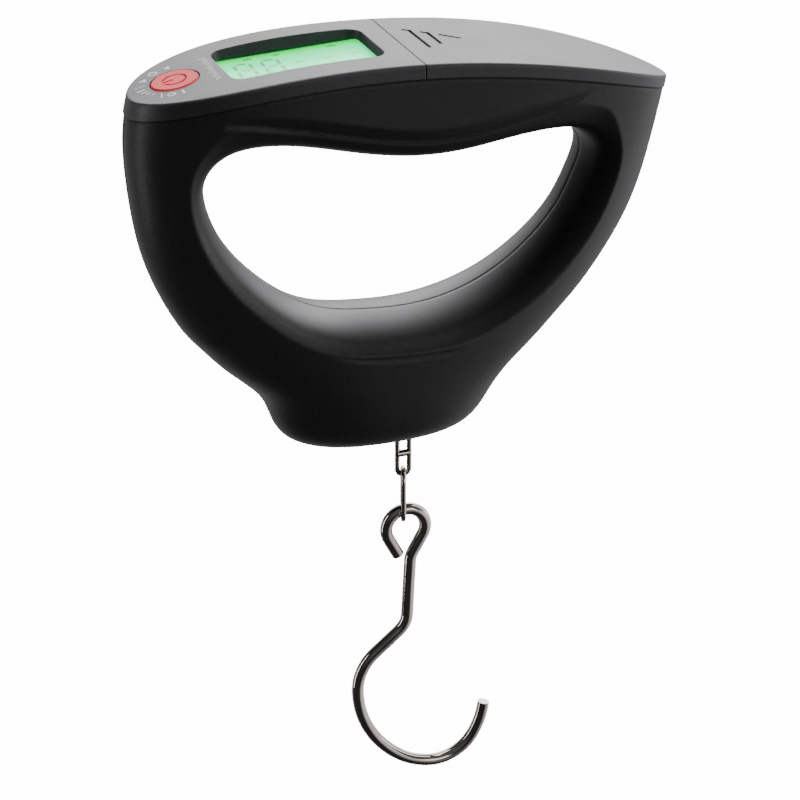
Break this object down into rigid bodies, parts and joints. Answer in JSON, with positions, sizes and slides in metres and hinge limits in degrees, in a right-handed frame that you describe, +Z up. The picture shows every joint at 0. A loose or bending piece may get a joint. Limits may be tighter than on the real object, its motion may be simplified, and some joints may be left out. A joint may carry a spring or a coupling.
{
  "type": "digital hanging scale",
  "caption": "Hand-held digital hanging scale: loop-shaped grip with a lens-shaped top carrying display, button and sliding battery cover, and a chained open hook below.",
  "frame": {"origin": "on the load line, at the underside of the grip bar where the fingers pull", "axes": "+Z up along the load line, +X along the grip towards the battery cover, -Y towards the front shell"},
  "size_m": [0.1373, 0.038, 0.2024],
  "materials": {
    "black_case": "fine spark texture",
    "cap_plastic": "fine satin texture",
    "clear_window": "clear",
    "lcd": "back-lit green",
    "backlight": "diffusing",
    "circuit_board": "solder mask",
    "rubber_contact": "matt",
    "component_black": "matt",
    "button_red": "satin",
    "battery_wrap": "printed sleeve",
    "tray_plastic": "matt",
    "contact_metal": "nickel plated",
    "gauge_film": "polyimide film",
    "cell_aluminium": "machined",
    "plain_steel": "zinc plated",
    "dark_nickel": "dark polished nickel",
    "cable_jacket": "matt",
    "wire_red": "matt"
  },
  "bodies": {
    "handle": {"front_shell": "black_case", "rear_shell": "black_case", "shell_screws": "plain_steel", "display_panel": "cap_plastic", "display_lens": "clear_window", "lcd_cell": "lcd", "backlight": "backlight", "main_board": "circuit_board", "lcd_connectors": "rubber_contact", "board_screws": "plain_steel", "board_components": "component_black", "buzzer": "component_black", "button_board": "circuit_board", "tact_switch": "component_black", "battery_front": "battery_wrap", "battery_rear": "battery_wrap", "battery_tray": "tray_plastic", "contact_plates": "contact_metal", "contact_springs": "contact_metal", "load_cell": "cell_aluminium", "strain_gauges": "gauge_film", "anchor_plate": "plain_steel", "cell_screws": "plain_steel", "load_eye": "dark_nickel", "eye_nut": "plain_steel", "load_cable": "cable_jacket", "battery_wires": "wire_red"},
    "button": {"power_button": "button_red"},
    "cover": {"battery_cover": "cap_plastic"},
    "upper_chain_link": {"upper_link": "dark_nickel"},
    "lower_chain_link": {"lower_link": "dark_nickel"},
    "load_hook": {"hook": "dark_nickel"}
  },
  "joints": [
    {"name": "button_press", "type": "slide", "parent": "handle", "child": "button", "axis": [0.2028, 0, -0.9792], "range_m": [0, 0.0005], "stiffness_N_per_m": 1500},
    {"name": "cover_slide", "type": "slide", "parent": "handle", "child": "cover", "axis": [1, 0, 0], "range_m": [0, 0.0035]},
    {"name": "upper_link_swing", "type": "hinge", "parent": "handle", "child": "upper_chain_link", "pos_m": [0, 0, -0.0685], "axis": [0, 1, 0], "range_deg": [-22, 22]},
    {"name": "lower_link_swing", "type": "hinge", "parent": "upper_chain_link", "child": "lower_chain_link", "pos_m": [0, 0, -0.0878], "axis": [1, 0, 0], "range_deg": [-20, 20]},
    {"name": "hook_swing", "type": "hinge", "parent": "lower_chain_link", "child": "load_hook", "pos_m": [0, 0, -0.1003], "axis": [0, 1, 0], "range_deg": [-60, 60]}
  ]
}
